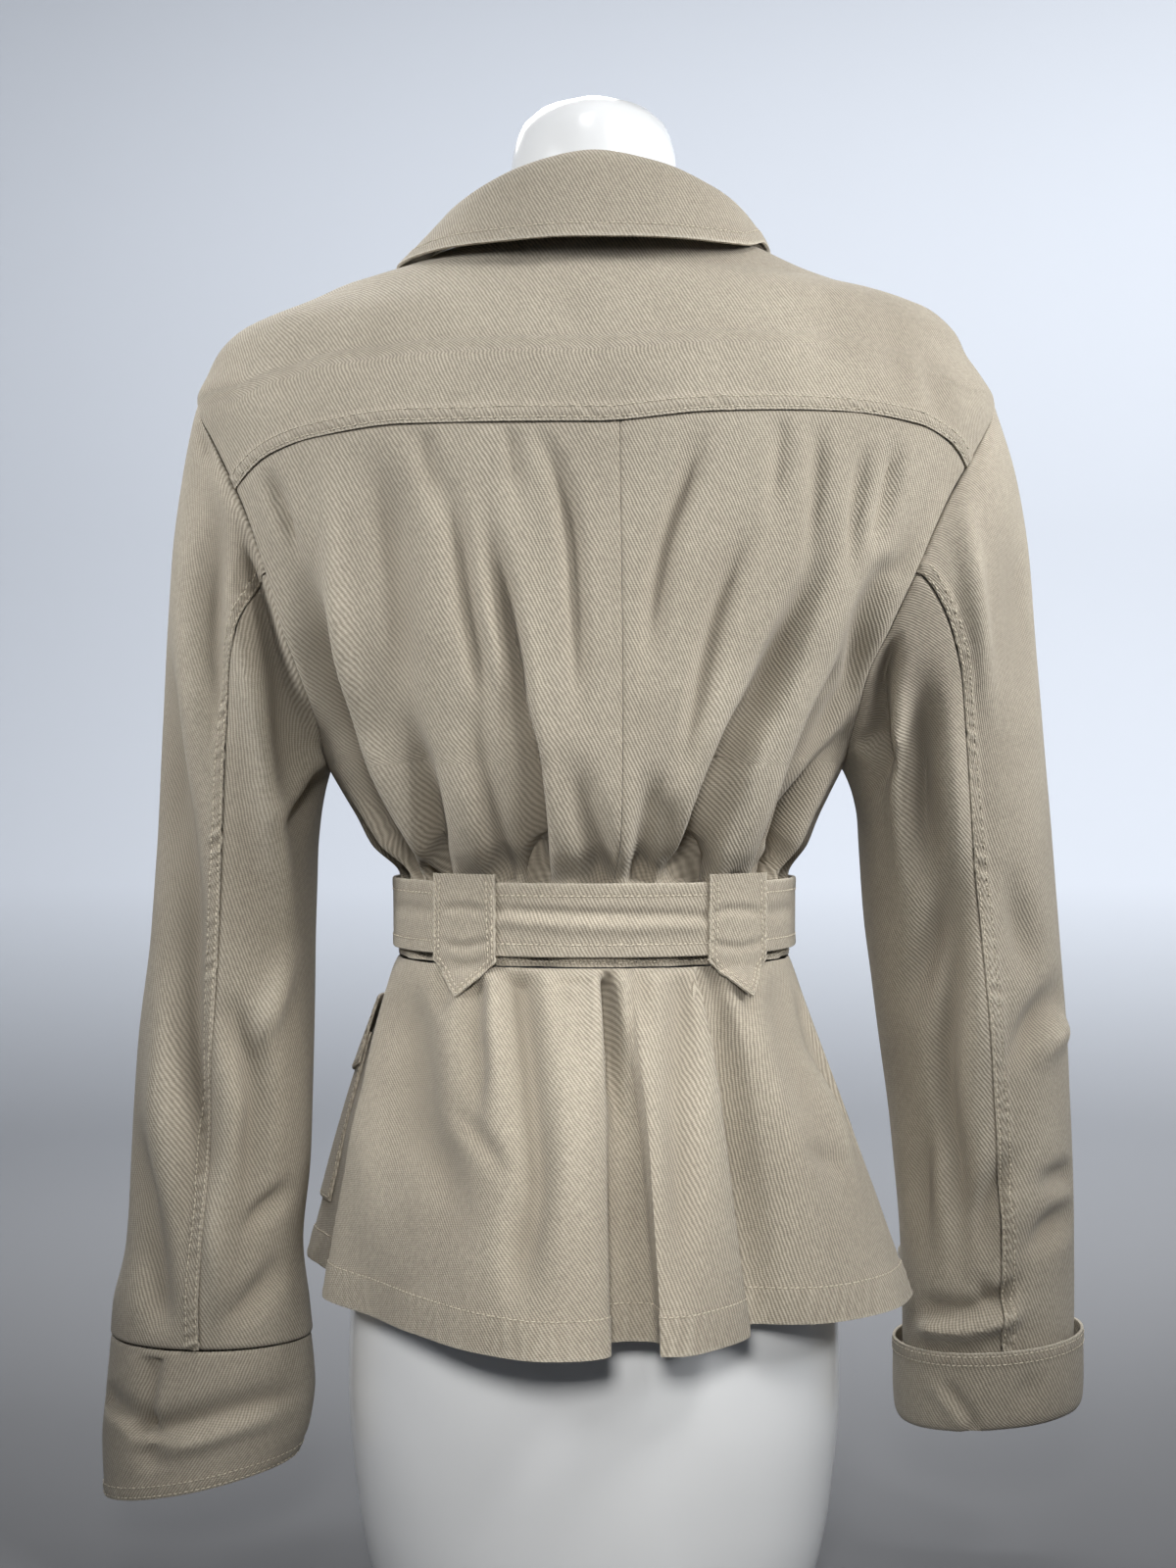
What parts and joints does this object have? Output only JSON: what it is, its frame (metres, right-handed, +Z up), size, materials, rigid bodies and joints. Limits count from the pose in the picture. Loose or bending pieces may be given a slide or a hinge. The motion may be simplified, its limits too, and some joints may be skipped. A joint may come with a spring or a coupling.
{
  "type": "utility jacket on a display form",
  "caption": "Belted cotton twill utility jacket with a pleated skirt part, two-piece sleeves and a turn-down collar, worn on a plain limbless display form.",
  "frame": {"origin": "middle of the flat underside of the display form", "axes": "+Z up along the body; -Y towards the back of the jacket, the side in the picture; +X the wearer's right"},
  "size_m": [0.5687, 0.3228, 0.849],
  "materials": {
    "twill": "khaki cotton twill, washed",
    "button": "plain matt buttons",
    "buckle": "plain slide buckle",
    "form_white": "smooth white gloss"
  },
  "bodies": {
    "root": {"back_left": "twill", "back_right": "twill", "belt": "twill", "belt_loop_left": "twill", "belt_loop_right": "twill", "collar": "twill", "cuff_left": "twill", "cuff_right": "twill", "front_left": "twill", "front_right": "twill", "peplum_back": "twill", "peplum_front_left": "twill", "peplum_front_right": "twill", "placket_bodice": "twill", "placket_peplum": "twill", "pocket_flap_left": "twill", "pocket_flap_right": "twill", "pocket_left": "twill", "pocket_right": "twill", "sleeve_top_left": "twill", "sleeve_top_right": "twill", "sleeve_under_left": "twill", "sleeve_under_right": "twill", "yoke": "twill", "button_1": "button", "button_2": "button", "button_3": "button", "button_4": "button", "button_5": "button", "button_6": "button", "button_7": "button", "belt_buckle": "buckle", "form": "form_white"}
  },
  "joints": []
}
